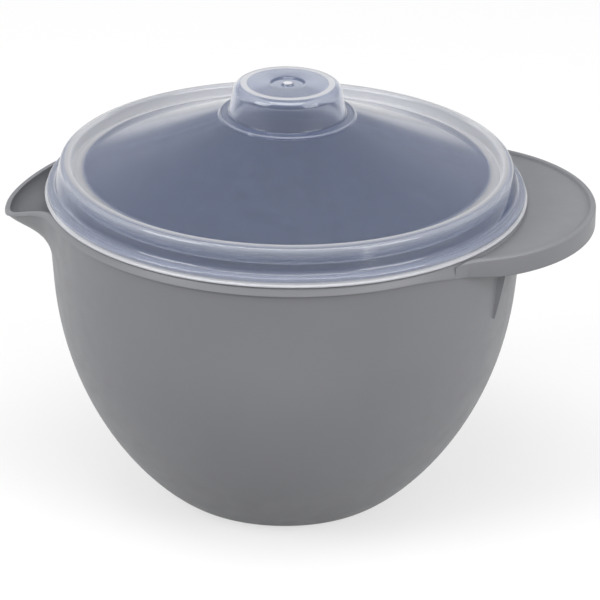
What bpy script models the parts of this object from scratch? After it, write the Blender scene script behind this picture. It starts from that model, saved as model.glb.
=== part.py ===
"""Microwave ramen cooker: a moulded bowl with a pour spout and a tab handle, and a clear lift-off lid.

Metres, +Z up. The origin is the middle of the bowl's base, the spout points along -X and the handle along +X.
"""
import math

import bmesh
import bpy
from mathutils import Matrix, Vector

# Bowl shell
BOWL_HEIGHT = 0.1054
RIM_RADIUS = 0.0808
WALL = 0.0024
DRAFT = math.radians(4.7)
STRAIGHT_DEPTH = 0.0297
BASE_RADIUS = 0.038
BASE_SLOPE = math.radians(31)
SIDE_PULL = 0.0448
BASE_PULL = 0.0105
BASE_ROUND = 0.006

# Band that runs round the outside of the rim
BAND_HEIGHT = 0.0028
BAND_STEP = 0.0010
BAND_ROUND = 0.0004
RIM_ROUND = 0.0008

# Pour spout, drawn out of the rim
SPOUT_REACH = 0.0135
SPOUT_WIDTH = 0.0394
SPOUT_DEPTH = 0.020
SPOUT_DROP = 0.0075
SPOUT_BLUNTNESS = 3.0
SPOUT_DROOP = 1.5
SPOUT_FADE = 1.25
SPOUT_BAND_FADE = 6.0
SPOUT_BAND_HEIGHT = 0.0018
SPOUT_BAND_STEP = 0.0004

# Tab handle: a flat plate with a raised bead, a skirt turned down round its edge and two gussets under it
HANDLE_REACH = 0.0225
HANDLE_ROUND = 0.0521
HANDLE_FILLET = 0.025
HANDLE_SINK = 0.0016
HANDLE_BITE = 0.0010
HANDLE_BELOW_RIM = 0.0002
HANDLE_PLATE = 0.0022
HANDLE_EDGE_ROUND = 0.0006
BEAD_WIDTH = 0.0024
BEAD_HEIGHT = 0.0006
SKIRT_DEPTH = 0.0071
SKIRT_WALL = 0.0022
SKIRT_RAMP = 0.020
SKIRT_BAND_SHADOW = 0.0003
GUSSET_SPAN = 0.0364
GUSSET_DEPTH = 0.028
GUSSET_REACH = 0.0022
GUSSET_BULGE = 0.0003
GUSSET_WALL = 0.0018

# Lid, with heights above the face that rests on the rim
LID_GAP = 0.0003
LID_WALL = 0.0015
FOOT_INSET = 0.0004
FOOT_WIDTH = 0.0006
FOOT_HEIGHT = 0.0007
LIP_HEIGHT = 0.0030
LIP_WALL = 0.0012
LEDGE_WIDTH = 0.0025
RIDGE_HEIGHT = 0.0110
RIDGE_RISE = 0.0012
RIDGE_LEAN = 0.0020
RIDGE_WIDTH = 0.0035
VALLEY_HEIGHT = 0.0072
VALLEY_LEAN = 0.0002
CONE_SLOPE = math.radians(22.7)
PLUG_DEPTH = 0.0030
PLUG_WALL = 0.0012
PLUG_CLEARANCE = 0.0009
LID_ROUND = 0.0013
VALLEY_ROUND = 0.0006
LIP_ROUND = 0.0008
FOOT_ROUND = 0.0003

# Hollow knob in the middle of the lid, on a narrow shoulder that steps down to the cone
KNOB_HEIGHT = 0.0388
KNOB_FOOT_RADIUS = 0.0196
KNOB_TOP_RADIUS = 0.0176
KNOB_FOOT_ROUND = 0.0008
KNOB_TOP_ROUND = 0.0017
SHOULDER_RADIUS = 0.0225
SHOULDER_HEIGHT = 0.0283
SHOULDER_FALL = 0.0002
SHOULDER_ROUND = 0.0004
COLLAR_WIDTH = 0.0006
COLLAR_ROUND = 0.0003
DIMPLE_RADIUS = 0.0059
DIMPLE_DEPTH = 0.0006
NUB_RADIUS = 0.0018
NUB_HEIGHT = 0.0004

# Fineness of the facets
BOWL_SEGMENTS = 72
LID_SEGMENTS = 48
SIDE_STEPS = 8
SPOUT_STEPS = 5
HANDLE_STEPS = 20
FILLET_STEPS = 5
ARC_STEP = math.radians(45)
SPOUT_GATHER = 0.2
ENDS_GATHER = 0.15
SHARP_ANGLE = math.radians(38)
MERGE = 0.00001

BOWL_COLOUR = (0.205, 0.208, 0.213, 1.0)
LID_COLOUR = (0.66, 0.70, 0.78, 1.0)
PART_NAME = "microwave_ramen_cooker"


def clear_scene():
    for item in list(bpy.data.objects):
        bpy.data.objects.remove(item, do_unlink=True)


def new_collection(name):
    collection = bpy.data.collections.new(name)
    bpy.context.scene.collection.children.link(collection)
    return collection


def plastic(name, colour, roughness, transmission):
    """A moulded plastic with its own colour and sheen."""
    material = bpy.data.materials.new(name)
    material.use_nodes = True
    shader = material.node_tree.nodes["Principled BSDF"]
    shader.inputs["Base Color"].default_value = colour
    shader.inputs["Roughness"].default_value = roughness
    shader.inputs["Metallic"].default_value = 0.0
    shader.inputs["Transmission Weight"].default_value = transmission
    return material


def smooth_step(amount):
    """Ease from 0 to 1, level at both ends."""
    amount = min(1.0, max(0.0, amount))
    return amount * amount * (3.0 - 2.0 * amount)


def arc(centre, radius, start, end, steps):
    """Points along an arc, both ends included."""
    angles = [start + (end - start) * step / steps for step in range(steps + 1)]
    return [centre + radius * Vector((math.cos(angle), math.sin(angle))) for angle in angles]


def bezier(a, b, c, d, steps):
    """Points along a cubic curve, both ends included."""
    points = []
    for step in range(steps + 1):
        t = step / steps
        s = 1.0 - t
        points.append(s ** 3 * a + 3 * s * s * t * b + 3 * s * t * t * c + t ** 3 * d)
    return points


def sagged_arc(start, end, bulge, steps):
    """Points of a circular arc that stands off its chord by the bulge, to the left of the way it runs."""
    half = (end - start) / 2
    side = Vector((-half.y, half.x)).normalized()
    radius = (half.length_squared + bulge * bulge) / (2 * bulge)
    centre = start + half - side * (radius - bulge)
    first = start - centre
    last = end - centre
    first_angle = math.atan2(first.y, first.x)
    return arc(centre, radius, first_angle, first_angle - last.angle(first), steps)


def rounded(corners):
    """Turn corners, each with its rounding radius, into a line whose rounds are short arcs."""
    points = [corners[0][0]]
    for (before, _), (corner, radius), (after, _) in zip(corners, corners[1:], corners[2:]):
        inward = (before - corner).normalized()
        outward = (after - corner).normalized()
        turn = math.pi - inward.angle(outward)
        if radius <= 0.0 or turn < MERGE:
            points.append(corner)
            continue
        room = 0.45 * min((before - corner).length, (after - corner).length)
        reach = min(radius * math.tan(turn / 2), room)
        fitted = reach / math.tan(turn / 2)
        middle = corner + (inward + outward).normalized() * math.hypot(fitted, reach)
        spoke = corner + inward * reach - middle
        sense = 1.0 if inward.cross(outward) < 0.0 else -1.0
        steps = max(1, math.ceil(turn / ARC_STEP))
        start = math.atan2(spoke.y, spoke.x)
        points += arc(middle, fitted, start, start + sense * turn, steps)
    points.append(corners[-1][0])
    return points


def offset_line(points, distance):
    """Shift a line sideways, to the right of the way it runs, with its corners kept sharp."""
    shifted = []
    for index, point in enumerate(points):
        sides = []
        for first, second in ((index - 1, index), (index, index + 1)):
            if 0 <= first and second < len(points):
                along = (points[second] - points[first]).normalized()
                sides.append(Vector((along.y, -along.x)))
        middle = sum(sides, Vector((0.0, 0.0))).normalized()
        shifted.append(point + middle * (distance / middle.dot(sides[0])))
    return shifted


def mesh_of(item):
    """Take an object's evaluated mesh, welded and with its faces turned out, and remove the object."""
    bpy.context.view_layer.update()
    evaluated = item.evaluated_get(bpy.context.evaluated_depsgraph_get())
    mesh = bpy.data.meshes.new_from_object(evaluated)
    mesh.transform(item.matrix_world)
    bpy.data.objects.remove(item, do_unlink=True)
    welded = bmesh.new()
    welded.from_mesh(mesh)
    bmesh.ops.remove_doubles(welded, verts=welded.verts, dist=MERGE)
    bmesh.ops.recalc_face_normals(welded, faces=welded.faces)
    welded.to_mesh(mesh)
    welded.free()
    return mesh


def turn_profile(name, profile, segments, collection):
    """Turn a profile of radius and height round the Z axis."""
    mesh = bpy.data.meshes.new(name)
    links = [(index, index + 1) for index in range(len(profile) - 1)]
    mesh.from_pydata([(point.x, 0.0, point.y) for point in profile], links, [])
    item = bpy.data.objects.new(name, mesh)
    collection.objects.link(item)
    screw = item.modifiers.new("turn", "SCREW")
    screw.axis = "Z"
    screw.steps = segments
    screw.render_steps = segments
    screw.use_merge_vertices = True
    screw.merge_threshold = MERGE
    return mesh_of(item)


def flat_outline(name, outline, thickness, edge_round, place, collection):
    """A flat closed outline given a thickness about its own plane, with rounded edges if asked."""
    curve = bpy.data.curves.new(name, "CURVE")
    curve.dimensions = "2D"
    curve.fill_mode = "BOTH"
    curve.extrude = thickness / 2 - edge_round
    curve.bevel_depth = edge_round
    curve.bevel_resolution = 1
    curve.offset = -edge_round
    spline = curve.splines.new("POLY")
    spline.points.add(len(outline) - 1)
    for point, corner in zip(spline.points, outline):
        point.co = (corner.x, corner.y, 0.0, 1.0)
    spline.use_cyclic_u = True
    item = bpy.data.objects.new(name, curve)
    item.matrix_world = place
    collection.objects.link(item)
    return mesh_of(item)


def helper_object(name, mesh, collection):
    """A hidden shape that is joined to a piece or cut from it."""
    item = bpy.data.objects.new(name, mesh)
    item.display_type = "WIRE"
    item.hide_render = True
    collection.objects.link(item)
    return item


def combine(item, helper, operation):
    boolean = item.modifiers.new(helper.name, "BOOLEAN")
    boolean.operation = operation
    boolean.solver = "EXACT"
    boolean.object = helper


def finish_piece(name, mesh, material, location, collection):
    mesh.materials.clear()
    mesh.materials.append(material)
    mesh.shade_smooth()
    mesh.set_sharp_from_angle(angle=SHARP_ANGLE)
    item = bpy.data.objects.new(name, mesh)
    item.location = location
    collection.objects.link(item)
    return item


# Bowl

def wall_radius(depth):
    """Outer radius of the straight part of the wall at a depth below the rim."""
    return RIM_RADIUS - BAND_STEP - math.tan(DRAFT) * (depth - BAND_HEIGHT)


def wall_line():
    """Outer face of the wall and base, from the level of the rim to the axis, without the rim band."""
    row = (SPOUT_DEPTH - BAND_HEIGHT) / SPOUT_STEPS
    depths = [0.0] + [BAND_HEIGHT + row * step for step in range(SPOUT_STEPS)]
    straight = [Vector((wall_radius(depth), BOWL_HEIGHT - depth)) for depth in depths]
    shoulder = Vector((wall_radius(STRAIGHT_DEPTH), BOWL_HEIGHT - STRAIGHT_DEPTH))
    base_edge = Vector((BASE_RADIUS, 0.0))
    down_wall = Vector((-math.sin(DRAFT), -math.cos(DRAFT)))
    up_side = Vector((math.cos(BASE_SLOPE), math.sin(BASE_SLOPE)))
    upper_pull = shoulder + SIDE_PULL * down_wall
    lower_pull = base_edge + BASE_PULL * up_side
    side = bezier(shoulder, upper_pull, lower_pull, base_edge, SIDE_STEPS)
    return straight + side + [Vector((0.0, 0.0))]


def bowl_profile():
    """Closed section of the bowl: up the inside from the axis, over the rim and down the outside."""
    outer = wall_line()
    inner = offset_line(outer, WALL)
    inner[-1].x = 0.0
    inner[0] = Vector((inner[1].x + (BOWL_HEIGHT - inner[1].y) * math.tan(DRAFT), BOWL_HEIGHT))
    sharp_inner = [(point, 0.0) for point in reversed(inner[1:])]
    rim = [
        (inner[0], RIM_ROUND),
        (Vector((RIM_RADIUS, BOWL_HEIGHT)), RIM_ROUND),
        (Vector((RIM_RADIUS, BOWL_HEIGHT - BAND_HEIGHT + BAND_ROUND)), 0.0),
        (Vector((RIM_RADIUS - BAND_ROUND, BOWL_HEIGHT - BAND_HEIGHT)), 0.0),
    ]
    sharp_outer = [(point, 0.0) for point in outer[1:-2]]
    base = [(outer[-2], BASE_ROUND), (outer[-1], 0.0)]
    return rounded(sharp_inner + rim + sharp_outer + base)


def spout_bell(angle):
    """How far the spout is drawn out, from 0 to 1, at an angle from the middle of the spout."""
    half_angle = math.asin(SPOUT_WIDTH / 2 / RIM_RADIUS)
    return math.exp(-abs(angle / half_angle) ** SPOUT_BLUNTNESS)


def gather_facets(mesh):
    """Slide the turned facets round the axis, so that they lie closer at the spout and at the handle."""
    for vertex in mesh.vertices:
        radius = math.hypot(vertex.co.x, vertex.co.y)
        even = math.atan2(vertex.co.y, -vertex.co.x)
        angle = even - SPOUT_GATHER * math.sin(even) - ENDS_GATHER * math.sin(2 * even)
        vertex.co.x = -radius * math.cos(angle)
        vertex.co.y = radius * math.sin(angle)


def draw_spout(mesh):
    """Draw the wall out and down into a lip, with the rim band growing thin along it."""
    middle_of_rim = RIM_RADIUS - (BAND_STEP + WALL) / 2
    for vertex in mesh.vertices:
        radius = math.hypot(vertex.co.x, vertex.co.y)
        angle = math.atan2(vertex.co.y, -vertex.co.x)
        depth = BOWL_HEIGHT - vertex.co.z
        bell = spout_bell(angle)
        thinning = smooth_step(SPOUT_BAND_FADE * bell)
        fade = smooth_step(1.0 - depth / SPOUT_DEPTH) ** SPOUT_FADE
        outside = radius > middle_of_rim - math.tan(DRAFT) * depth
        on_band = outside and depth < BAND_HEIGHT - MERGE
        extra = 0.0 if on_band else (BAND_STEP - SPOUT_BAND_STEP) * thinning
        drawn = radius + fade * (SPOUT_REACH * bell + extra)
        lift = 0.0
        if outside and depth > BAND_HEIGHT - BAND_ROUND - MERGE:
            lift = (BAND_HEIGHT - SPOUT_BAND_HEIGHT) * thinning * fade
        vertex.co.x = -drawn * math.cos(angle)
        vertex.co.y = drawn * math.sin(angle)
        vertex.co.z += lift - fade * SPOUT_DROP * bell ** SPOUT_DROOP


def deepen_band(mesh):
    """Let the rim band grow down to the depth of the skirt as it nears the roots of the handle."""
    root = handle_outline(0.0)[0]
    ramp = SKIRT_RAMP / RIM_RADIUS
    start = math.atan2(root.y, root.x) + 0.6 * ramp
    growth = SKIRT_DEPTH + HANDLE_BELOW_RIM - SKIRT_BAND_SHADOW - BAND_HEIGHT
    for vertex in mesh.vertices:
        radius = math.hypot(vertex.co.x, vertex.co.y)
        depth = BOWL_HEIGHT - vertex.co.z
        if depth < BAND_HEIGHT - BAND_ROUND - MERGE or radius < wall_radius(depth) - WALL / 2:
            continue
        angle = abs(math.atan2(vertex.co.y, vertex.co.x))
        fade = smooth_step((STRAIGHT_DEPTH - depth) / (STRAIGHT_DEPTH - BAND_HEIGHT))
        lower = growth * fade * smooth_step((start - angle) / ramp)
        on_band = radius > RIM_RADIUS - BAND_STEP + MERGE
        shrink = 1.0 if on_band else 1.0 - lower * math.tan(DRAFT) / radius
        vertex.co.x *= shrink
        vertex.co.y *= shrink
        vertex.co.z -= lower


def handle_outline(inset):
    """Plan of the tab, drawn in by the inset. It ends inside the wall of the bowl."""
    seat_radius = RIM_RADIUS - HANDLE_SINK
    root_radius = seat_radius - inset / 2
    handle_centre = Vector((RIM_RADIUS + HANDLE_REACH - HANDLE_ROUND, 0.0))
    to_axis = seat_radius + HANDLE_FILLET
    to_handle = HANDLE_ROUND + HANDLE_FILLET
    fillet_x = (to_axis ** 2 - to_handle ** 2 + handle_centre.x ** 2) / (2 * handle_centre.x)
    fillet_centre = Vector((fillet_x, math.sqrt(to_axis ** 2 - fillet_x ** 2)))
    fillet_radius = HANDLE_FILLET + inset
    along = (to_axis ** 2 - fillet_radius ** 2 + root_radius ** 2) / (2 * to_axis)
    across = math.sqrt(max(0.0, root_radius ** 2 - along ** 2))
    towards = fillet_centre.normalized()
    root = along * towards + across * Vector((towards.y, -towards.x))
    root_spoke = root - fillet_centre
    handle_spoke = handle_centre - fillet_centre
    root_turn = math.atan2(root_spoke.y, root_spoke.x)
    handle_turn = math.atan2(handle_spoke.y, handle_spoke.x)
    upper = arc(fillet_centre, fillet_radius, root_turn, handle_turn, FILLET_STEPS)
    lower = [Vector((point.x, -point.y)) for point in reversed(upper)]
    sweep = handle_turn + math.pi
    tip = arc(handle_centre, HANDLE_ROUND - inset, sweep, -sweep, HANDLE_STEPS)
    root_angle = math.atan2(root.y, root.x)
    back = arc(Vector((0.0, 0.0)), root_radius - HANDLE_BITE, -root_angle, root_angle, HANDLE_STEPS)
    return upper[:-1] + tip + lower[1:] + back


def level(height):
    return Matrix.Translation((0.0, 0.0, height))


def upright(place_y):
    """Stand a flat outline up in the XZ plane at a place along Y."""
    return Matrix.Translation((0.0, place_y, 0.0)) @ Matrix.Rotation(math.pi / 2, 4, "X")


def build_handle(collection):
    """The tab with its bead, skirt and hollow underside, as one shape that reaches into the wall."""
    top = BOWL_HEIGHT - HANDLE_BELOW_RIM
    bottom = top - SKIRT_DEPTH
    plate_bottom = top - BEAD_HEIGHT - HANDLE_PLATE
    tab_plan = handle_outline(0.0)
    middle = level((top + bottom) / 2)
    tab_mesh = flat_outline("handle_tab", tab_plan, SKIRT_DEPTH, HANDLE_EDGE_ROUND, middle, collection)
    tab = helper_object("handle_tab", tab_mesh, collection)
    hollow_height = 2 * (plate_bottom - bottom)
    hollow_plan = handle_outline(SKIRT_WALL)
    hollow_mesh = flat_outline("handle_hollow", hollow_plan, hollow_height, 0.0, level(bottom), collection)
    combine(tab, helper_object("handle_hollow", hollow_mesh, collection), "DIFFERENCE")
    recess_plan = handle_outline(BEAD_WIDTH)
    recess_mesh = flat_outline("handle_recess", recess_plan, 2 * BEAD_HEIGHT, 0.0, level(top), collection)
    combine(tab, helper_object("handle_recess", recess_mesh, collection), "DIFFERENCE")
    return tab


def gusset_outline():
    """Side view of a gusset: its back edge lies inside the wall, its free edge bows slightly outwards."""
    top = BOWL_HEIGHT - HANDLE_BELOW_RIM - BEAD_HEIGHT - HANDLE_PLATE / 2
    bottom = BOWL_HEIGHT - GUSSET_DEPTH

    def wall_face(height, depth_in_wall):
        radius = wall_radius(BOWL_HEIGHT - height) - depth_in_wall
        return math.sqrt(radius ** 2 - GUSSET_SPAN ** 2)

    upper_end = Vector((wall_face(top, 0.0) + GUSSET_REACH, top))
    lower_end = Vector((wall_face(bottom, 0.0), bottom))
    free_edge = sagged_arc(upper_end, lower_end, GUSSET_BULGE, FILLET_STEPS)
    back = [Vector((wall_face(height, WALL / 2), height)) for height in (bottom, top)]
    return free_edge + back


def build_bowl(material, parts, helpers):
    shell = turn_profile("bowl", bowl_profile(), BOWL_SEGMENTS, parts)
    gather_facets(shell)
    deepen_band(shell)
    draw_spout(shell)
    bowl = finish_piece("bowl", shell, material, (0.0, 0.0, 0.0), parts)
    combine(bowl, build_handle(helpers), "UNION")
    for side in (-1, 1):
        name = "gusset_near" if side < 0 else "gusset_far"
        plate = flat_outline(name, gusset_outline(), GUSSET_WALL, 0.0, upright(side * GUSSET_SPAN), helpers)
        combine(bowl, helper_object(name, plate, helpers), "UNION")
    return bowl


# Lid

def lip_radius():
    """Outer radius of the lid's upright lip, which stands on a thin foot."""
    return RIM_RADIUS - FOOT_INSET - FOOT_WIDTH


def lid_shell_corners():
    """Outer corners of the lid from the knob's top to the ledge inside the lip, each with its rounding."""
    wall_foot = lip_radius() - LEDGE_WIDTH
    ridge_outer = wall_foot - RIDGE_LEAN
    ridge_inner = ridge_outer - RIDGE_WIDTH
    valley = Vector((ridge_inner - VALLEY_LEAN, VALLEY_HEIGHT))

    def on_cone(radius):
        return Vector((radius, VALLEY_HEIGHT + (valley.x - radius) * math.tan(CONE_SLOPE)))

    knob_foot = Vector((KNOB_FOOT_RADIUS, SHOULDER_HEIGHT + SHOULDER_FALL))
    shoulder = Vector((SHOULDER_RADIUS, SHOULDER_HEIGHT))
    collar_foot = on_cone(SHOULDER_RADIUS + COLLAR_WIDTH)
    return [
        (Vector((KNOB_TOP_RADIUS, KNOB_HEIGHT)), KNOB_TOP_ROUND),
        (knob_foot, KNOB_FOOT_ROUND),
        (shoulder, SHOULDER_ROUND),
        (collar_foot, COLLAR_ROUND),
        (valley, VALLEY_ROUND),
        (Vector((ridge_inner, RIDGE_HEIGHT + RIDGE_RISE)), LID_ROUND),
        (Vector((ridge_outer, RIDGE_HEIGHT)), LID_ROUND),
        (Vector((wall_foot, LIP_HEIGHT)), LID_ROUND),
    ]


def lid_profile():
    """Closed section of the lid: down the outside from the knob's dimple, and back up the inside."""
    shell = lid_shell_corners()
    dimple_floor = KNOB_HEIGHT - DIMPLE_DEPTH
    nub_top = dimple_floor + NUB_HEIGHT
    outside = [
        (Vector((0.0, nub_top)), 0.0),
        (Vector((NUB_RADIUS - NUB_HEIGHT / 2, nub_top)), 0.0),
        (Vector((NUB_RADIUS, dimple_floor)), 0.0),
        (Vector((DIMPLE_RADIUS - DIMPLE_DEPTH, dimple_floor)), 0.0),
        (Vector((DIMPLE_RADIUS, KNOB_HEIGHT)), 0.0),
    ]
    lip_outer = lip_radius()
    lip_inner = lip_outer - LIP_WALL
    channel_roof = LIP_HEIGHT - LID_WALL
    lip = [
        (Vector((lip_outer, LIP_HEIGHT)), LIP_ROUND),
        (Vector((lip_outer, FOOT_HEIGHT)), FOOT_ROUND),
        (Vector((lip_outer + FOOT_WIDTH, FOOT_HEIGHT)), FOOT_ROUND),
        (Vector((lip_outer + FOOT_WIDTH, 0.0)), FOOT_ROUND),
        (Vector((lip_inner, 0.0)), 0.0),
        (Vector((lip_inner, channel_roof)), 0.0),
    ]
    plug_outer = RIM_RADIUS - BAND_STEP - WALL - PLUG_CLEARANCE
    plug_inner = plug_outer - PLUG_WALL
    skin = offset_line([Vector((0.0, KNOB_HEIGHT))] + [corner for corner, _ in shell], LID_WALL)
    skin[0].x = 0.0
    wall_top, wall_foot = skin[-2], skin[-1]
    slope = (wall_foot.y - wall_top.y) / (wall_foot.x - wall_top.x)
    plug_root = Vector((plug_inner, wall_top.y + slope * (plug_inner - wall_top.x)))
    plug = [
        (Vector((plug_outer, channel_roof)), 0.0),
        (Vector((plug_outer, -PLUG_DEPTH)), FOOT_ROUND),
        (Vector((plug_inner, -PLUG_DEPTH)), FOOT_ROUND),
        (plug_root, 0.0),
    ]
    inner_rounds = [max(0.0, radius - LID_WALL / 2) for _, radius in shell[:-1]]
    inside = list(zip(reversed(skin[1:-1]), reversed(inner_rounds)))
    return rounded(outside + shell + lip + plug + inside + [(skin[0], 0.0)])


def build_lid(material, parts):
    shell = turn_profile("lid", lid_profile(), LID_SEGMENTS, parts)
    return finish_piece("lid", shell, material, (0.0, 0.0, BOWL_HEIGHT + LID_GAP), parts)


def main():
    clear_scene()
    parts = new_collection(PART_NAME)
    helpers = new_collection(PART_NAME + "_helpers")
    build_bowl(plastic("bowl_plastic", BOWL_COLOUR, 0.42, 0.0), parts, helpers)
    build_lid(plastic("lid_plastic", LID_COLOUR, 0.25, 0.85), parts)


main()
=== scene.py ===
"""Looks of the microwave ramen cooker: fine meshes, moulded plastics, a floor, soft light and the camera.

Metres, +Z up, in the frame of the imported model: the spout points along -X and the tab handle along +X.
"""
import math

import bmesh
import bpy
from mathutils import Matrix, Vector


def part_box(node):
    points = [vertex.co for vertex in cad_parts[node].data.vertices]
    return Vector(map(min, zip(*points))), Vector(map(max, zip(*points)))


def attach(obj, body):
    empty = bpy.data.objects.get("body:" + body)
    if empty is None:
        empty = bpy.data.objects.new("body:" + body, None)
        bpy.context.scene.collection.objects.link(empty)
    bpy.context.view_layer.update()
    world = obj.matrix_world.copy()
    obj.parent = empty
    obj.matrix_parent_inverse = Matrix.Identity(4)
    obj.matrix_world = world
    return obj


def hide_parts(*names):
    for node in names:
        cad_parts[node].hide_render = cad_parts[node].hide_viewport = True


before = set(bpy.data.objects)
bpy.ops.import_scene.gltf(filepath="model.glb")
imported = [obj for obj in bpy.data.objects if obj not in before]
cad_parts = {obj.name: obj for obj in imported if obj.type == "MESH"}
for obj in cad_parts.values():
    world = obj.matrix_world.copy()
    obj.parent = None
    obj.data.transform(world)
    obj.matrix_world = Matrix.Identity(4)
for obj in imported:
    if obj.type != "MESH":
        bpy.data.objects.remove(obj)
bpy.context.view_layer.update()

# Bowl shell
BOWL_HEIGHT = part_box("bowl")[1][2]
RIM_RADIUS = 0.0808
WALL = 0.0024
DRAFT = math.radians(4.7)
STRAIGHT_DEPTH = 0.0297
BASE_RADIUS = 0.038
BASE_SLOPE = math.radians(31)
SIDE_PULL = 0.0448
BASE_PULL = 0.0105
BASE_ROUND = 0.006

# Band that runs round the outside of the rim
BAND_HEIGHT = 0.0028
BAND_STEP = 0.0010
BAND_ROUND = 0.0005
BAND_FILLET = 0.0003
RIM_ROUND = 0.0015
RIM_CREST = 0.0027
RIM_LEAN = 0.0010

# Pour spout, drawn out of the rim
SPOUT_REACH = 0.0141
SPOUT_WIDTH = 0.0394
SPOUT_DEPTH = 0.020
SPOUT_DROP = 0.0075
SPOUT_BLUNTNESS = 3.0
SPOUT_DROOP = 1.5
SPOUT_FADE = 1.25
SPOUT_BAND_FADE = 12.0
SPOUT_BAND_HEIGHT = 0.0018
SPOUT_BAND_STEP = 0.0004

# Tab handle with a raised bead, a skirt round its edge and two gussets under it
HANDLE_REACH = 0.0225
HANDLE_ROUND = 0.0521
HANDLE_FILLET = 0.025
HANDLE_SINK = 0.0002
HANDLE_BITE = 0.0010
HANDLE_BELOW_RIM = 0.0002
HANDLE_PLATE = 0.0022
HANDLE_EDGE_ROUND = 0.0009
BEAD_WIDTH = 0.0024
BEAD_HEIGHT = 0.0011
BEAD_ROUND = 0.0005
SKIRT_DEPTH = 0.0071
SKIRT_WALL = 0.0022
SKIRT_FOOT_ROUND = 0.0006
SKIRT_RAMP = 0.0395
GUSSET_SPAN = 0.0318
GUSSET_DEPTH = 0.028
GUSSET_REACH = 0.0022
GUSSET_BULGE = 0.0003
GUSSET_WALL = 0.0018
GUSSET_ROUND = 0.0004
GUSSET_ROUND_STEPS = 3

# Lid, with heights above the face that rests on the rim
SEAT_GAP = 0.0003
LID_SEAT = BOWL_HEIGHT + SEAT_GAP
LID_WALL = 0.0015
FOOT_INSET = 0.0004
FOOT_WIDTH = 0.0006
FOOT_HEIGHT = 0.0007
LIP_HEIGHT = 0.0030
LIP_WALL = 0.0012
LEDGE_WIDTH = 0.0025
RIDGE_HEIGHT = 0.0110
RIDGE_RISE = 0.0012
RIDGE_LEAN = 0.0020
RIDGE_WIDTH = 0.0035
VALLEY_HEIGHT = 0.0072
VALLEY_LEAN = 0.0002
CONE_SLOPE = math.radians(22.7)
PLUG_DEPTH = 0.0030
PLUG_WALL = 0.0012
PLUG_CLEARANCE = 0.0009
LID_ROUND = 0.0013
VALLEY_ROUND = 0.0006
LIP_ROUND = 0.0008
FOOT_ROUND = 0.0003

# Hollow knob in the middle of the lid, on a narrow shoulder that steps down to the cone
KNOB_HEIGHT = 0.0388
KNOB_FOOT_RADIUS = 0.0196
KNOB_TOP_RADIUS = 0.0176
KNOB_FOOT_ROUND = 0.0008
KNOB_TOP_ROUND = 0.0030
SHOULDER_RADIUS = 0.0225
SHOULDER_HEIGHT = 0.0283
SHOULDER_FALL = 0.0002
SHOULDER_ROUND = 0.0004
COLLAR_WIDTH = 0.0006
COLLAR_ROUND = 0.0003
DIMPLE_RADIUS = 0.0059
DIMPLE_DEPTH = 0.0006
DIMPLE_ROUND = 0.0005
NUB_RADIUS = 0.0022
NUB_HEIGHT = 0.0007
NUB_ROUND = 0.0003

# Fineness of the meshes
BOWL_SEGMENTS = 288
LID_SEGMENTS = 256
LONGEST_STEP = 0.0020
SIDE_STEPS = 30
HANDLE_STEPS = 72
FILLET_STEPS = 20
ARC_STEP = math.radians(15)
ROUND_ROOM = 0.45
SHARP_ANGLE = math.radians(35)
STRAIGHT = 0.00001
WELD = 0.000001

# Camera, fitted to the photograph's 600 pixel frame
FRAME_PIXELS = 600
FOCAL_PIXELS = 4194
SENSOR_WIDTH = 36.0
CAMERA_TARGET = Vector((0.0, 0.0, LID_SEAT))
CAMERA_DISTANCE = 1.400
CAMERA_ELEVATION = math.radians(22.37)
CAMERA_AZIMUTH = math.radians(3.6)
CAMERA_ROLL = math.radians(0.85)
CAMERA_FAR = 100.0
TARGET_PIXEL = Vector((286.2, 191.7))

# Plastics, as linear colours
PLASTIC_IOR = 1.49
BOWL_GREY = (0.228, 0.231, 0.246, 1.0)
BOWL_GREY_DARK = (0.217, 0.220, 0.235, 1.0)
LID_CLEAR = (0.95, 0.96, 0.975, 1.0)
LID_COAT = 0.45
LID_COAT_ROUGHNESS = 0.06
LID_HAZE = (0.33, 0.45, 0.84, 1.0)
LID_MILK = (0.78, 0.79, 0.83, 1.0)
LID_DYE = (0.42, 0.45, 0.50, 1.0)
LID_DYE_DENSITY = 100.0

# Grain of the plastics: scales of the noise, depths of the bumps, and roughness of smooth and dull patches
NOISE_LOW = 0.3
NOISE_HIGH = 0.7
COARSE_DETAIL = 3.0
FINE_DETAIL = 2.0
BOWL_DRIFT_SCALE = 24.0
BOWL_CLOUD_SCALE = 160.0
BOWL_GRAIN_SCALE = 2600.0
BOWL_GRAIN_STRENGTH = 0.25
BOWL_GRAIN_DEPTH = 0.00003
BOWL_ROUGHNESS = (0.40, 0.48)
LID_CLOUD_SCALE = 220.0
LID_WAVE_SCALE = 90.0
LID_WAVE_STRENGTH = 0.02
LID_WAVE_DEPTH = 0.0002
LID_ROUGHNESS = (0.09, 0.14)
LID_HAZE_ROUGHNESS = (0.30, 0.40)

# Haze of the lid: its share face on and edge on and in cloudy patches, and where it turns milky
HAZE_SHARE = (0.07, 0.17)
HAZE_CLOUDS = 0.02
MILKY_FROM_SLANT = 0.7
MILKY_AT_SHARE = 0.3

# Lid's milky rings, one partly a painted highlight: how far each reaches into the plastic, and its share of
# haze
FOOT_MILK = (0.0018, 0.50)
FOOT_MILK_HEIGHT = 0.0003
BRIM_MILK = (0.0042, 0.17)
# Ring on the ridge's outer edge: part haze of the thick corner, part painted highlight
RIDGE_EDGE_MILK_AND_HIGHLIGHT = (0.0012, 0.20)
RIDGE_WALL_MILK = (0.0044, 0.48)
RIDGE_WALL_MILK_INSET = 0.0006
RIDGE_WALL_MILK_HEIGHT = 0.0096
SHOULDER_MILK = (0.0006, 0.20)
KNOB_EDGE_MILK = (0.0015, 0.42)
NUB_MILK = (0.0020, 0.60)

# The whole knob is milky too, the more the more aslant its wall is seen
KNOB_MILK = (0.0300, 0.34)
KNOB_SLANT = (0.50, 0.95)
KNOB_SLANT_SHARE = (0.15, 1.0)

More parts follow.
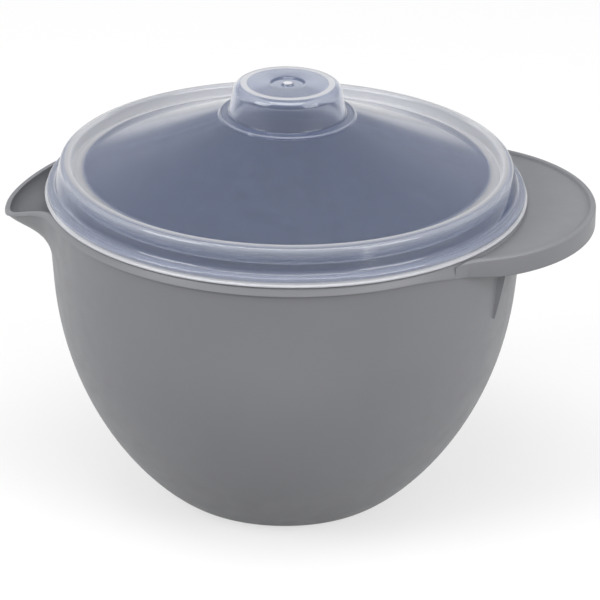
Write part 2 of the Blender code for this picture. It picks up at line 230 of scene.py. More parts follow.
# Light
WORLD_LEVEL = 0.55
WORLD_WHITE_TO = 0.05
WORLD_DIM_FROM = 0.15
FLOOR_COLOUR = (0.38, 0.38, 0.38, 1.0)
FLOOR_GLOW = 0.61
FLOOR_DIM_FROM = -0.30
FLOOR_DIM_TO = 0.05
FLOOR_SIZE = 8.0

# Soft lamps: place, width, height and radiance of each
TOP_LAMP = ((0.0, -0.28, 1.30), 1.0, 0.6, 3.2)
LEFT_LAMP = ((-0.95, -0.65, 0.80), 0.7, 0.7, 5.4)
RIGHT_LAMP = ((0.95, -0.65, 0.65), 0.7, 0.7, 4.5)


def clamp(amount):
    """Hold an amount between 0 and 1."""
    return min(1.0, max(0.0, amount))


def smooth_step(amount):
    """Ease from 0 to 1, level at both ends."""
    amount = clamp(amount)
    return amount * amount * (3.0 - 2.0 * amount)


def arc(centre, radius, start, end, steps):
    """Points along an arc, both ends included."""
    angles = [start + (end - start) * step / steps for step in range(steps + 1)]
    return [centre + radius * Vector((math.cos(angle), math.sin(angle))) for angle in angles]


def bezier(a, b, c, d, steps):
    """Points along a cubic curve, both ends included."""
    points = []
    for step in range(steps + 1):
        t = step / steps
        s = 1.0 - t
        points.append(s ** 3 * a + 3 * s * s * t * b + 3 * s * t * t * c + t ** 3 * d)
    return points


def sagged_arc(start, end, bulge, steps):
    """Points of a circular arc that stands off its chord by the bulge, to the left of the way it runs."""
    half = (end - start) / 2
    side = Vector((-half.y, half.x)).normalized()
    radius = (half.length_squared + bulge * bulge) / (2 * bulge)
    centre = start + half - side * (radius - bulge)
    first = start - centre
    last = end - centre
    first_angle = math.atan2(first.y, first.x)
    return arc(centre, radius, first_angle, first_angle - last.angle(first), steps)


def rounded(corners):
    """Turn corners, each with its rounding radius, into a line whose rounds are short arcs."""
    points = [corners[0][0]]
    for (before, _), (corner, radius), (after, _) in zip(corners, corners[1:], corners[2:]):
        inward = (before - corner).normalized()
        outward = (after - corner).normalized()
        turn = math.pi - inward.angle(outward)
        if radius <= 0.0 or turn < STRAIGHT:
            points.append(corner)
            continue
        room = ROUND_ROOM * min((before - corner).length, (after - corner).length)
        reach = min(radius * math.tan(turn / 2), room)
        fitted = reach / math.tan(turn / 2)
        middle = corner + (inward + outward).normalized() * math.hypot(fitted, reach)
        spoke = corner + inward * reach - middle
        sense = 1.0 if inward.cross(outward) < 0.0 else -1.0
        steps = max(2, math.ceil(turn / ARC_STEP))
        start = math.atan2(spoke.y, spoke.x)
        points += arc(middle, fitted, start, start + sense * turn, steps)
    points.append(corners[-1][0])
    return points


def divided(points, longest):
    """Split the long stretches of a line, so that it can be bent smoothly."""
    fine = [points[0]]
    for before, after in zip(points, points[1:]):
        parts = max(1, math.ceil((after - before).length / longest))
        fine += [before.lerp(after, part / parts) for part in range(1, parts + 1)]
    return fine


def offset_line(points, distance):
    """Shift a line sideways, to the right of the way it runs, with its corners kept sharp."""
    shifted = []
    for index, point in enumerate(points):
        sides = []
        for first, second in ((index - 1, index), (index, index + 1)):
            if 0 <= first and second < len(points):
                along = (points[second] - points[first]).normalized()
                sides.append(Vector((along.y, -along.x)))
        middle = sum(sides, Vector((0.0, 0.0))).normalized()
        shifted.append(point + middle * (distance / middle.dot(sides[0])))
    return shifted


def finish_mesh(name, bm):
    """Weld and turn out a mesh, shade it smooth and put it in the scene."""
    bmesh.ops.remove_doubles(bm, verts=bm.verts, dist=WELD)
    bmesh.ops.recalc_face_normals(bm, faces=bm.faces)
    mesh = bpy.data.meshes.new(name)
    bm.to_mesh(mesh)
    bm.free()
    mesh.shade_smooth()
    mesh.set_sharp_from_angle(angle=SHARP_ANGLE)
    piece = bpy.data.objects.new(name, mesh)
    bpy.context.scene.collection.objects.link(piece)
    return piece


def skin_rows(bm, rows, closed):
    """Faces between rows of vertices. Each row is a ring where it is closed."""
    count = len(rows[0])
    for upper, lower in zip(rows, rows[1:]):
        for index in range(count if closed else count - 1):
            after = (index + 1) % count
            corners = (upper[index], upper[after], lower[after], lower[index])
            bm.faces.new(corners)


def turned(name, profile, segments, place):
    """Turn a profile, which starts and ends on the axis, round Z. place says where each point goes."""
    bm = bmesh.new()
    turns = [2 * math.pi * step / segments for step in range(segments)]
    rows = [[bm.verts.new(place(index, angle)) for angle in turns] for index in range(1, len(profile) - 1)]
    skin_rows(bm, rows, True)
    for row, index in ((rows[0], 0), (rows[-1], len(profile) - 1)):
        pole = bm.verts.new(place(index, 0.0))
        for here in range(segments):
            bm.faces.new((row[here], row[(here + 1) % segments], pole))
    return finish_mesh(name, bm)


# Bowl

def wall_radius(depth):
    """Outer radius of the straight part of the wall at a depth below the rim."""
    return RIM_RADIUS - BAND_STEP - math.tan(DRAFT) * (depth - BAND_HEIGHT)


def wall_line():
    """Outer face of the wall and base, from the level of the rim to the axis, without the rim band."""
    straight = [Vector((wall_radius(depth), BOWL_HEIGHT - depth)) for depth in (0.0, BAND_HEIGHT)]
    shoulder = Vector((wall_radius(STRAIGHT_DEPTH), BOWL_HEIGHT - STRAIGHT_DEPTH))
    base_edge = Vector((BASE_RADIUS, 0.0))
    down_wall = Vector((-math.sin(DRAFT), -math.cos(DRAFT)))
    up_side = Vector((math.cos(BASE_SLOPE), math.sin(BASE_SLOPE)))
    upper_pull = shoulder + SIDE_PULL * down_wall
    lower_pull = base_edge + BASE_PULL * up_side
    side = bezier(shoulder, upper_pull, lower_pull, base_edge, SIDE_STEPS)
    return straight + side + [Vector((0.0, 0.0))]


def bowl_profile():
    """Section of the bowl from the axis up the inside, over the rim and down the outside, in two lines."""
    outer = wall_line()
    inner = offset_line(outer, WALL)
    inner[-1].x = 0.0
    inner[0] = Vector((inner[1].x + (BOWL_HEIGHT - inner[1].y) * math.tan(DRAFT), BOWL_HEIGHT))
    crest = Vector((RIM_RADIUS - RIM_CREST, BOWL_HEIGHT))
    upward = [(point, 0.0) for point in reversed(inner[1:])]
    upward[1] = (upward[1][0], BASE_ROUND)
    inside = rounded(upward + [(inner[0], RIM_ROUND), (crest, 0.0)])
    outside = rounded(
        [
            (crest, 0.0),
            (Vector((RIM_RADIUS - RIM_LEAN, BOWL_HEIGHT)), RIM_ROUND),
            (Vector((RIM_RADIUS, BOWL_HEIGHT - BAND_HEIGHT)), BAND_ROUND),
            (outer[1], BAND_FILLET),
        ]
        + [(point, 0.0) for point in outer[2:-2]]
        + [(outer[-2], BASE_ROUND), (outer[-1], 0.0)]
    )
    return divided(inside, LONGEST_STEP), divided(outside, LONGEST_STEP)


def spout_bell(angle):
    """How far the spout is drawn out, from 0 to 1, at an angle from the middle of the spout."""
    half_angle = math.asin(SPOUT_WIDTH / 2 / RIM_RADIUS)
    return math.exp(-abs(angle / half_angle) ** SPOUT_BLUNTNESS)


def skirt_growth():
    """How much deeper the full skirt is than the rim band."""
    return SKIRT_DEPTH + HANDLE_BELOW_RIM - BAND_HEIGHT


def skirt_ramp():
    """Angles from the middle of the handle where the skirt starts to deepen and where it is deepest."""
    root = handle_run(0.0)[0]
    middle = math.atan2(root.y, root.x)
    half = SKIRT_RAMP / RIM_RADIUS / 2
    return middle + half, middle - half


def skirt_share(ramp, from_handle):
    """How much of its full depth the skirt has, at an angle from the middle of the handle."""
    start, end = ramp
    return smooth_step((start - from_handle) / (start - end))


def build_bowl_shell():
    """The bowl's section turned round, with the spout drawn out and the rim band grown into the skirt."""
    inside, outside = bowl_profile()
    profile = inside + outside[1:]
    last_inside = len(inside) - 1
    growth = skirt_growth()
    ramp = skirt_ramp()
    half_band = BAND_HEIGHT / 2

    def place(index, turn):
        radius, height = profile[index]
        depth = BOWL_HEIGHT - height
        on_outside = index > last_inside
        under_band = clamp((depth - half_band) / half_band) if on_outside else 0.0
        from_handle = abs(math.atan2(math.sin(turn), math.cos(turn)))
        from_spout = math.pi - from_handle
        bell = spout_bell(from_spout)
        thinning = smooth_step(SPOUT_BAND_FADE * bell)
        fade = smooth_step(1.0 - depth / SPOUT_DEPTH) ** SPOUT_FADE
        across = BAND_STEP if depth > half_band else BAND_STEP + WALL
        share = clamp((RIM_RADIUS - radius) / across) if on_outside else 1.0
        settle = smooth_step((STRAIGHT_DEPTH - depth) / (STRAIGHT_DEPTH - BAND_HEIGHT))
        lower = growth * under_band * settle * skirt_share(ramp, from_handle)
        drawn = radius + fade * (SPOUT_REACH * bell + share * (BAND_STEP - SPOUT_BAND_STEP) * thinning)
        drawn -= lower * math.tan(DRAFT) * share
        lift = (BAND_HEIGHT - SPOUT_BAND_HEIGHT) * thinning * fade * under_band
        droop = fade * SPOUT_DROP * bell ** SPOUT_DROOP
        return (drawn * math.cos(turn), drawn * math.sin(turn), height + lift - lower - droop)

    return turned("bowl_shell", profile, BOWL_SEGMENTS, place)


def handle_run(inset):
    """Edge of the tab in plan, drawn in by the inset, from one root round the tip to the other."""
    seat_radius = RIM_RADIUS - HANDLE_SINK
    handle_centre = Vector((RIM_RADIUS + HANDLE_REACH - HANDLE_ROUND, 0.0))
    to_axis = seat_radius + HANDLE_FILLET
    to_handle = HANDLE_ROUND + HANDLE_FILLET
    fillet_x = (to_axis ** 2 - to_handle ** 2 + handle_centre.x ** 2) / (2 * handle_centre.x)
    fillet_centre = Vector((fillet_x, math.sqrt(to_axis ** 2 - fillet_x ** 2)))
    fillet_radius = HANDLE_FILLET + inset
    along = (to_axis ** 2 - fillet_radius ** 2 + seat_radius ** 2) / (2 * to_axis)
    across = math.sqrt(max(0.0, seat_radius ** 2 - along ** 2))
    towards = fillet_centre.normalized()
    root = along * towards + across * Vector((towards.y, -towards.x))
    root_spoke = root - fillet_centre
    handle_spoke = handle_centre - fillet_centre
    root_turn = math.atan2(root_spoke.y, root_spoke.x)
    handle_turn = math.atan2(handle_spoke.y, handle_spoke.x)
    upper = arc(fillet_centre, fillet_radius, root_turn, handle_turn, FILLET_STEPS)
    lower = [Vector((point.x, -point.y)) for point in reversed(upper)]
    sweep = handle_turn + math.pi
    tip = arc(handle_centre, HANDLE_ROUND - inset, sweep, -sweep, HANDLE_STEPS)
    return upper[:-1] + tip + lower[1:]


def build_handle():
    """The tab: its section of inset and height is carried along the run of its edge."""
    top = BOWL_HEIGHT - HANDLE_BELOW_RIM
    bottom = top - SKIRT_DEPTH
    floor = top - BEAD_HEIGHT
    plate_bottom = floor - HANDLE_PLATE
    bead_slope = BEAD_HEIGHT / 2
    plate_edge = BEAD_WIDTH + 3 * BEAD_ROUND
    section = rounded([
        (Vector((plate_edge, floor)), 0.0),
        (Vector((BEAD_WIDTH, floor)), BEAD_ROUND),
        (Vector((BEAD_WIDTH - bead_slope, top)), BEAD_ROUND),
        (Vector((0.0, top)), HANDLE_EDGE_ROUND),
        (Vector((0.0, bottom)), SKIRT_FOOT_ROUND),
        (Vector((SKIRT_WALL, bottom)), SKIRT_FOOT_ROUND),
        (Vector((SKIRT_WALL, plate_bottom)), SKIRT_FOOT_ROUND),
        (Vector((plate_edge, plate_bottom)), 0.0),
    ])
    ramp = skirt_ramp()
    edge_turns = [abs(math.atan2(point.y, point.x)) for point in handle_run(0.0)]
    lifts = [skirt_growth() * (1.0 - skirt_share(ramp, turn)) for turn in edge_turns]
    bm = bmesh.new()
    rows = []
    for inset, height in section:
        in_skirt = clamp((plate_bottom - height) / (plate_bottom - bottom))
        run = zip(handle_run(inset), lifts)
        rows.append([bm.verts.new((point.x, point.y, height + in_skirt * lift)) for point, lift in run])
    back_radius = RIM_RADIUS - HANDLE_SINK - HANDLE_BITE / 2
    back = [back_radius * point.normalized() for point in handle_run(plate_edge)]
    for height in (plate_bottom, floor):
        rows.append([bm.verts.new((point.x, point.y, height)) for point in back])
    skin_rows(bm, rows + rows[:1], False)
    for end in (0, -1):
        bm.faces.new([row[end] for row in rows])
    return finish_mesh("bowl_handle", bm)


def build_gusset(name, place_y):
    """A thin upright web under the tab, with its back edge inside the wall."""
    top = BOWL_HEIGHT - HANDLE_BELOW_RIM - BEAD_HEIGHT - HANDLE_PLATE / 2
    bottom = BOWL_HEIGHT - GUSSET_DEPTH

    def wall_face(height, depth_in_wall):
        radius = wall_radius(BOWL_HEIGHT - height) - depth_in_wall
        return math.sqrt(radius ** 2 - place_y ** 2)

    upper_end = Vector((wall_face(top, 0.0) + GUSSET_REACH, top))
    lower_end = Vector((wall_face(bottom, 0.0), bottom))
    free_edge = sagged_arc(upper_end, lower_end, GUSSET_BULGE, FILLET_STEPS)
    outline = free_edge + [Vector((wall_face(height, WALL / 2), height)) for height in (bottom, top)]
    bm = bmesh.new()
    sides = []
    for side in (-GUSSET_WALL / 2, GUSSET_WALL / 2):
        sides.append([bm.verts.new((point.x, place_y + side, point.y)) for point in outline])
    skin_rows(bm, sides, True)
    for side in sides:
        bm.faces.new(side)
    bm.normal_update()
    sharp = [edge for edge in bm.edges if edge.calc_face_angle(0.0) > SHARP_ANGLE]
    bmesh.ops.bevel(
        bm, geom=sharp, offset=GUSSET_ROUND, segments=GUSSET_ROUND_STEPS, affect="EDGES", profile=0.5,
    )
    return finish_mesh(name, bm)


# Lid

def lip_radius():
    """Outer radius of the lid's upright lip, which stands on a thin foot."""
    return RIM_RADIUS - FOOT_INSET - FOOT_WIDTH


def lid_shell_corners():
    """Outer corners of the lid from the knob's top to the ledge inside the lip, each with its rounding."""
    wall_foot = lip_radius() - LEDGE_WIDTH
    ridge_outer = wall_foot - RIDGE_LEAN
    ridge_inner = ridge_outer - RIDGE_WIDTH
    valley = Vector((ridge_inner - VALLEY_LEAN, VALLEY_HEIGHT))

    def on_cone(radius):
        return Vector((radius, VALLEY_HEIGHT + (valley.x - radius) * math.tan(CONE_SLOPE)))

    knob_foot = Vector((KNOB_FOOT_RADIUS, SHOULDER_HEIGHT + SHOULDER_FALL))
    shoulder = Vector((SHOULDER_RADIUS, SHOULDER_HEIGHT))
    collar_foot = on_cone(SHOULDER_RADIUS + COLLAR_WIDTH)
    return [
        (Vector((KNOB_TOP_RADIUS, KNOB_HEIGHT)), KNOB_TOP_ROUND),
        (knob_foot, KNOB_FOOT_ROUND),
        (shoulder, SHOULDER_ROUND),
        (collar_foot, COLLAR_ROUND),
        (valley, VALLEY_ROUND),
        (Vector((ridge_inner, RIDGE_HEIGHT + RIDGE_RISE)), LID_ROUND),
        (Vector((ridge_outer, RIDGE_HEIGHT)), LID_ROUND),
        (Vector((wall_foot, LIP_HEIGHT)), LID_ROUND),
    ]


def lid_profile():
    """Section of the lid: down the outside from the knob's dimple, and back up the inside."""
    shell = lid_shell_corners()
    dimple_floor = KNOB_HEIGHT - DIMPLE_DEPTH
    nub_top = dimple_floor + NUB_HEIGHT
    outside = [
        (Vector((0.0, nub_top)), 0.0),
        (Vector((NUB_RADIUS - NUB_HEIGHT / 2, nub_top)), NUB_ROUND),
        (Vector((NUB_RADIUS, dimple_floor)), NUB_ROUND),
        (Vector((DIMPLE_RADIUS - DIMPLE_DEPTH, dimple_floor)), DIMPLE_ROUND),
        (Vector((DIMPLE_RADIUS, KNOB_HEIGHT)), DIMPLE_ROUND),
    ]
    lip_outer = lip_radius()
    lip_inner = lip_outer - LIP_WALL
    channel_roof = LIP_HEIGHT - LID_WALL
    lip = [
        (Vector((lip_outer, LIP_HEIGHT)), LIP_ROUND),
        (Vector((lip_outer, FOOT_HEIGHT)), FOOT_ROUND),
        (Vector((lip_outer + FOOT_WIDTH, FOOT_HEIGHT)), FOOT_ROUND),
        (Vector((lip_outer + FOOT_WIDTH, 0.0)), FOOT_ROUND),
        (Vector((lip_inner, 0.0)), FOOT_ROUND),
        (Vector((lip_inner, channel_roof)), FOOT_ROUND),
    ]
    plug_outer = RIM_RADIUS - BAND_STEP - WALL - PLUG_CLEARANCE
    plug_inner = plug_outer - PLUG_WALL
    skin = offset_line([Vector((0.0, KNOB_HEIGHT))] + [corner for corner, _ in shell], LID_WALL)
    skin[0].x = 0.0
    wall_top, wall_foot = skin[-2], skin[-1]
    slope = (wall_foot.y - wall_top.y) / (wall_foot.x - wall_top.x)
    plug_root = Vector((plug_inner, wall_top.y + slope * (plug_inner - wall_top.x)))
    plug = [
        (Vector((plug_outer, channel_roof)), FOOT_ROUND),
        (Vector((plug_outer, -PLUG_DEPTH)), FOOT_ROUND),
        (Vector((plug_inner, -PLUG_DEPTH)), FOOT_ROUND),
        (plug_root, 0.0),
    ]
    inner_rounds = [max(0.0, radius - LID_WALL / 2) for _, radius in shell[:-1]]
    inside = list(zip(reversed(skin[1:-1]), reversed(inner_rounds)))
    return rounded(outside + shell + lip + plug + inside + [(skin[0], 0.0)])


def build_lid():
    """The lid's section turned round its axis, on its seat."""
    profile = lid_profile()

    def place(index, turn):
        radius, height = profile[index]
        return (radius * math.cos(turn), radius * math.sin(turn), LID_SEAT + height)

    return turned("lid_shell", profile, LID_SEGMENTS, place)


# Materials

def new_material(name):
    material = bpy.data.materials.new(name)
    material.use_nodes = True
    tree = material.node_tree
    return material, tree, tree.nodes["Principled BSDF"]


def noise(tree, coordinates, scale, detail):
    """A noise pattern over the piece, as a value round one half."""
    node = tree.nodes.new("ShaderNodeTexNoise")
    node.inputs["Scale"].default_value = scale
    node.inputs["Detail"].default_value = detail
    tree.links.new(coordinates, node.inputs["Vector"])
    return node.outputs["Fac"]


def spread(tree, value, low, high, from_low=NOISE_LOW, from_high=NOISE_HIGH):
    """Stretch a value from one range to another."""
    node = tree.nodes.new("ShaderNodeMapRange")
    node.inputs["From Min"].default_value = from_low
    node.inputs["From Max"].default_value = from_high
    node.inputs["To Min"].default_value = low
    node.inputs["To Max"].default_value = high
    tree.links.new(value, node.inputs["Value"])
    return node.outputs["Result"]


def blend_colours(tree, value, first, second):
    node = tree.nodes.new("ShaderNodeMix")
    node.data_type = "RGBA"
    node.inputs["A"].default_value = first
    node.inputs["B"].default_value = second
    tree.links.new(value, node.inputs["Factor"])
    return node.outputs["Result"]


def bump(tree, height, strength, distance):
    node = tree.nodes.new("ShaderNodeBump")
    node.inputs["Strength"].default_value = strength
    node.inputs["Distance"].default_value = distance
    tree.links.new(height, node.inputs["Height"])
    return node.outputs["Normal"]


def object_coordinates(tree):
    return tree.nodes.new("ShaderNodeTexCoord").outputs["Object"]


def bowl_plastic():
    """Opaque grey polypropylene with a satin moulded grain."""
    material, tree, shader = new_material("bowl_satin_grey")
    place = object_coordinates(tree)
    drift = spread(tree, noise(tree, place, BOWL_DRIFT_SCALE, COARSE_DETAIL), 0.0, 1.0)
    tree.links.new(blend_colours(tree, drift, BOWL_GREY_DARK, BOWL_GREY), shader.inputs["Base Color"])
    cloud = noise(tree, place, BOWL_CLOUD_SCALE, FINE_DETAIL)
    tree.links.new(spread(tree, cloud, *BOWL_ROUGHNESS), shader.inputs["Roughness"])
    grain = noise(tree, place, BOWL_GRAIN_SCALE, FINE_DETAIL)
    tree.links.new(bump(tree, grain, BOWL_GRAIN_STRENGTH, BOWL_GRAIN_DEPTH), shader.inputs["Normal"])
    shader.inputs["IOR"].default_value = PLASTIC_IOR
    return material


def combined(tree, operation, first, second):
    """Two values put together, each a number or a socket, and held between 0 and 1."""
    node = tree.nodes.new("ShaderNodeMath")
    node.operation = operation
    node.use_clamp = True
    for socket, value in zip(node.inputs, (first, second)):
        if isinstance(value, float):
            socket.default_value = value
        else:
            tree.links.new(value, socket)
    return node.outputs["Value"]


def section_place(tree, place):
    """Distance from the axis and height of each point, as the X and Z of a vector."""
    level = tree.nodes.new("ShaderNodeVectorMath")
    level.operation = "MULTIPLY"
    level.inputs[1].default_value = (1.0, 1.0, 0.0)
    tree.links.new(place, level.inputs[0])
    across = tree.nodes.new("ShaderNodeVectorMath")
    across.operation = "LENGTH"
    tree.links.new(level.outputs["Vector"], across.inputs[0])
    parts = tree.nodes.new("ShaderNodeSeparateXYZ")
    tree.links.new(place, parts.inputs["Vector"])
    section = tree.nodes.new("ShaderNodeCombineXYZ")
    tree.links.new(across.outputs["Value"], section.inputs["X"])
    tree.links.new(parts.outputs["Z"], section.inputs["Z"])
    return section.outputs["Vector"]


def near_ring(tree, section, radius, height, reach, most):
    """A value that is most near a ring round the axis and falls to nothing at its reach."""
    away = tree.nodes.new("ShaderNodeVectorMath")
    away.operation = "DISTANCE"
    away.inputs[1].default_value = (radius, 0.0, LID_SEAT + height)
    tree.links.new(section, away.inputs[0])
    return spread(tree, away.outputs["Value"], most, 0.0, reach / 2, reach)


def milky_and_highlight_rings():
    """Milky rings of the lid, one of them partly a painted highlight: radius, height above the seat, reach
    and share of haze.
    """
    ridge_outer = lip_radius() - LEDGE_WIDTH - RIDGE_LEAN
    ridge_inner = ridge_outer - RIDGE_WIDTH
    return (
        (lip_radius() + FOOT_WIDTH / 2, FOOT_MILK_HEIGHT, *FOOT_MILK),
        (lip_radius() - LEDGE_WIDTH / 2, LIP_HEIGHT / 2, *BRIM_MILK),
        # Part haze of the thick corner, part painted highlight along the ridge's outer edge
        (ridge_outer, RIDGE_HEIGHT, *RIDGE_EDGE_MILK_AND_HIGHLIGHT),
        (ridge_inner - RIDGE_WALL_MILK_INSET, RIDGE_WALL_MILK_HEIGHT, *RIDGE_WALL_MILK),
        (SHOULDER_RADIUS, SHOULDER_HEIGHT, *SHOULDER_MILK),
        (KNOB_TOP_RADIUS - KNOB_TOP_ROUND, KNOB_HEIGHT, *KNOB_EDGE_MILK),
        (0.0, KNOB_HEIGHT, *NUB_MILK),
    )


def haze_and_highlight_share(tree, place, slant):
    """Share of haze that the thick rings and the knob add at each place of the lid, with a painted
    highlight on the ridge's outer edge.
    """
    section = section_place(tree, place)
    knob = near_ring(tree, section, 0.0, KNOB_HEIGHT, *KNOB_MILK)
    milk_and_highlight = combined(tree, "MULTIPLY", knob, spread(tree, slant, *KNOB_SLANT_SHARE, *KNOB_SLANT))
    for ring in milky_and_highlight_rings():
        milk_and_highlight = combined(tree, "MAXIMUM", milk_and_highlight, near_ring(tree, section, *ring))
    return milk_and_highlight


def clear_shader(tree, shader, cloud, wave):
    """The clear part of the lid's plastic, with a thin gloss."""
    shader.inputs["Base Color"].default_value = LID_CLEAR
    shader.inputs["Coat Weight"].default_value = LID_COAT
    shader.inputs["Coat Roughness"].default_value = LID_COAT_ROUGHNESS
    shader.inputs["Transmission Weight"].default_value = 1.0
    shader.inputs["IOR"].default_value = PLASTIC_IOR
    tree.links.new(spread(tree, cloud, *LID_ROUGHNESS), shader.inputs["Roughness"])
    tree.links.new(wave, shader.inputs["Normal"])


def haze_shader(tree, cloud, wave, whiteness):
    """The hazy part of the lid's plastic, from bluish to white as the whiteness says."""
    shader = tree.nodes.new("ShaderNodeBsdfPrincipled")
    tree.links.new(blend_colours(tree, whiteness, LID_HAZE, LID_MILK), shader.inputs["Base Color"])
    tree.links.new(spread(tree, cloud, *LID_HAZE_ROUGHNESS), shader.inputs["Roughness"])
    shader.inputs["IOR"].default_value = PLASTIC_IOR
    tree.links.new(wave, shader.inputs["Normal"])
    return shader


def lid_plastic():
    """Clear polypropylene, dyed a little, hazier where thick or seen aslant, plus a painted highlight on
    the ridge edge.
    """
    material, tree, clear = new_material("lid_clear_haze")
    place = object_coordinates(tree)
    cloud = noise(tree, place, LID_CLOUD_SCALE, COARSE_DETAIL)
    ripple = noise(tree, place, LID_WAVE_SCALE, FINE_DETAIL)
    wave = bump(tree, ripple, LID_WAVE_STRENGTH, LID_WAVE_DEPTH)
    slant = tree.nodes.new("ShaderNodeLayerWeight").outputs["Facing"]
    clouds = spread(tree, cloud, 0.0, HAZE_CLOUDS)
    milk_and_highlight = combined(tree, "MAXIMUM", haze_and_highlight_share(tree, place, slant), clouds)
    by_share = spread(tree, milk_and_highlight, 0.0, 1.0, 0.0, MILKY_AT_SHARE)
    by_slant = spread(tree, slant, 0.0, 1.0, MILKY_FROM_SLANT, 1.0)
    clear_shader(tree, clear, cloud, wave)
    haze = haze_shader(tree, cloud, wave, combined(tree, "ADD", by_share, by_slant))
    both = tree.nodes.new("ShaderNodeMixShader")
    share = combined(tree, "ADD", milk_and_highlight, spread(tree, slant, *HAZE_SHARE, 0.0, 1.0))
    tree.links.new(share, both.inputs["Fac"])
    tree.links.new(clear.outputs["BSDF"], both.inputs[1])
    tree.links.new(haze.outputs["BSDF"], both.inputs[2])
    dye = tree.nodes.new("ShaderNodeVolumeAbsorption")
    dye.inputs["Color"].default_value = LID_DYE
    dye.inputs["Density"].default_value = LID_DYE_DENSITY
    output = tree.nodes["Material Output"]
    tree.links.new(both.outputs["Shader"], output.inputs["Surface"])
    tree.links.new(dye.outputs["Volume"], output.inputs["Volume"])
    return material


def shown_rays(tree, through, in_gloss):
    """1 for the background in plain sight, and the given values through clear plastic and in a gloss."""
    path = tree.nodes.new("ShaderNodeLightPath")
    refracted = combined(tree, "MULTIPLY", path.outputs["Is Transmission Ray"], through)
    mirrored = combined(tree, "MULTIPLY", path.outputs["Is Glossy Ray"], in_gloss)
    indirect = combined(tree, "MAXIMUM", refracted, mirrored)
    return combined(tree, "MAXIMUM", path.outputs["Is Camera Ray"], indirect)


def floor_material():
    """A pale matte floor that shows white, keeps its shadows and is less bright in front in a gloss."""
    material = bpy.data.materials.new("pale_floor")
    material.use_nodes = True
    tree = material.node_tree
    tree.nodes.clear()
    matte = tree.nodes.new("ShaderNodeBsdfDiffuse")
    matte.inputs["Color"].default_value = FLOOR_COLOUR
    parts = tree.nodes.new("ShaderNodeSeparateXYZ")
    tree.links.new(object_coordinates(tree), parts.inputs["Vector"])
    behind = spread(tree, parts.outputs["Y"], 0.0, 1.0, FLOOR_DIM_FROM, FLOOR_DIM_TO)
    glow = tree.nodes.new("ShaderNodeEmission")
    strength = spread(tree, shown_rays(tree, 1.0, behind), 0.0, FLOOR_GLOW, 0.0, 1.0)
    tree.links.new(strength, glow.inputs["Strength"])
    both = tree.nodes.new("ShaderNodeAddShader")
    tree.links.new(matte.outputs["BSDF"], both.inputs[0])
    tree.links.new(glow.outputs["Emission"], both.inputs[1])
    output = tree.nodes.new("ShaderNodeOutputMaterial")
    tree.links.new(both.outputs["Shader"], output.inputs["Surface"])
    return material


# Stage

def build_floor():
    bm = bmesh.new()
    bmesh.ops.create_grid(bm, x_segments=1, y_segments=1, size=FLOOR_SIZE / 2)
    mesh = bpy.data.meshes.new("floor")
    bm.to_mesh(mesh)
    bm.free()
    floor = bpy.data.objects.new("floor", mesh)
    bpy.context.scene.collection.objects.link(floor)
    mesh.materials.append(floor_material())


def build_world():
    """An even studio whose horizon shows white, also through clear plastic and in a gloss."""
    world = bpy.data.worlds.new("studio")
    bpy.context.scene.world = world
    world.use_nodes = True
    tree = world.node_tree
    background = tree.nodes["Background"]
    background.inputs["Color"].default_value = (1.0, 1.0, 1.0, 1.0)
    directions = tree.nodes.new("ShaderNodeTexCoord").outputs["Generated"]
    parts = tree.nodes.new("ShaderNodeSeparateXYZ")
    tree.links.new(directions, parts.inputs["Vector"])
    low = spread(tree, parts.outputs["Z"], 1.0, 0.0, WORLD_WHITE_TO, WORLD_DIM_FROM)
    strength = spread(tree, shown_rays(tree, low, low), WORLD_LEVEL, 1.0, 0.0, 1.0)
    tree.links.new(strength, background.inputs["Strength"])


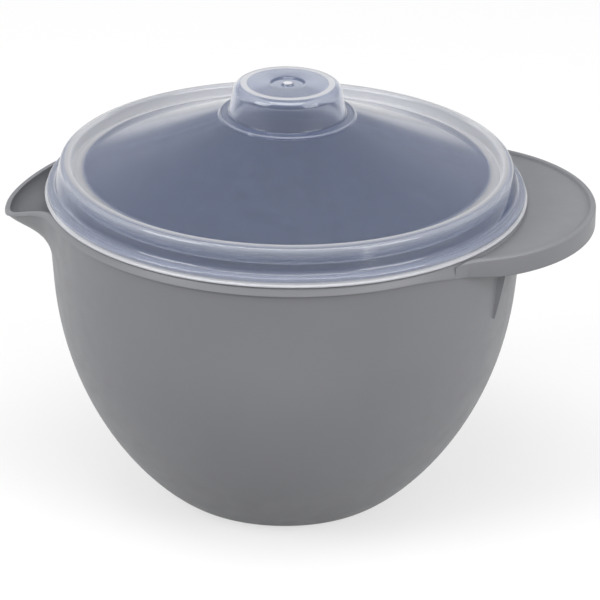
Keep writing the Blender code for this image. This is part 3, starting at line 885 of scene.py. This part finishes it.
def add_softbox(name, place, width, height, radiance):
    """A rectangular lamp that faces the object, with its radiance, and isn't seen through the lid."""
    lamp = bpy.data.lights.new(name, "AREA")
    lamp.shape = "RECTANGLE"
    lamp.size = width
    lamp.size_y = height
    lamp.energy = radiance * math.pi * width * height
    item = bpy.data.objects.new(name, lamp)
    item.location = place
    item.visible_transmission = False
    towards = Vector((0.0, 0.0, BOWL_HEIGHT)) - Vector(place)
    item.rotation_euler = towards.to_track_quat("-Z", "Y").to_euler()
    bpy.context.scene.collection.objects.link(item)


def build_lights():
    build_world()
    add_softbox("softbox_top", *TOP_LAMP)
    add_softbox("softbox_left", *LEFT_LAMP)
    add_softbox("softbox_right", *RIGHT_LAMP)


def build_camera():
    """Look at the object from the photograph's angle, with the target at its pixel and no shift."""
    lens = bpy.data.cameras.new("camera")
    lens.sensor_width = SENSOR_WIDTH
    lens.lens = SENSOR_WIDTH * FOCAL_PIXELS / FRAME_PIXELS
    lens.clip_end = CAMERA_FAR
    camera = bpy.data.objects.new("camera", lens)
    bpy.context.scene.collection.objects.link(camera)
    bpy.context.scene.camera = camera
    turn = Matrix.Rotation(CAMERA_AZIMUTH, 3, "Z")
    away = turn @ Vector((0.0, -math.cos(CAMERA_ELEVATION), math.sin(CAMERA_ELEVATION)))
    eye = CAMERA_TARGET + CAMERA_DISTANCE * away
    right = turn @ Vector((1.0, 0.0, 0.0))
    up = away.cross(right)
    rolled = Matrix.Rotation(CAMERA_ROLL, 3, away)
    right = rolled @ right
    up = rolled @ up
    middle = Vector((FRAME_PIXELS / 2, FRAME_PIXELS / 2))
    aside = middle - TARGET_PIXEL
    forward = (-away * FOCAL_PIXELS + right * aside.x - up * aside.y).normalized()
    side = forward.cross(up).normalized()
    upright = side.cross(forward)
    pose = Matrix((side, upright, -forward)).transposed().to_4x4()
    pose.translation = eye
    camera.matrix_world = pose


def dress(piece, material, body):
    """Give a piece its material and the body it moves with."""
    piece.data.materials.append(material)
    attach(piece, body)


def main():
    scene = bpy.context.scene
    scene.view_settings.view_transform = "Standard"
    grey = bowl_plastic()
    shell = build_bowl_shell()
    for piece in (
        shell,
        build_handle(),
        build_gusset("bowl_gusset_near", -GUSSET_SPAN),
        build_gusset("bowl_gusset_far", GUSSET_SPAN),
    ):
        dress(piece, grey, "bowl")
    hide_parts("bowl")
    lid = build_lid()
    dress(lid, lid_plastic(), "lid")
    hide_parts("lid")
    build_floor()
    build_lights()
    build_camera()


main()
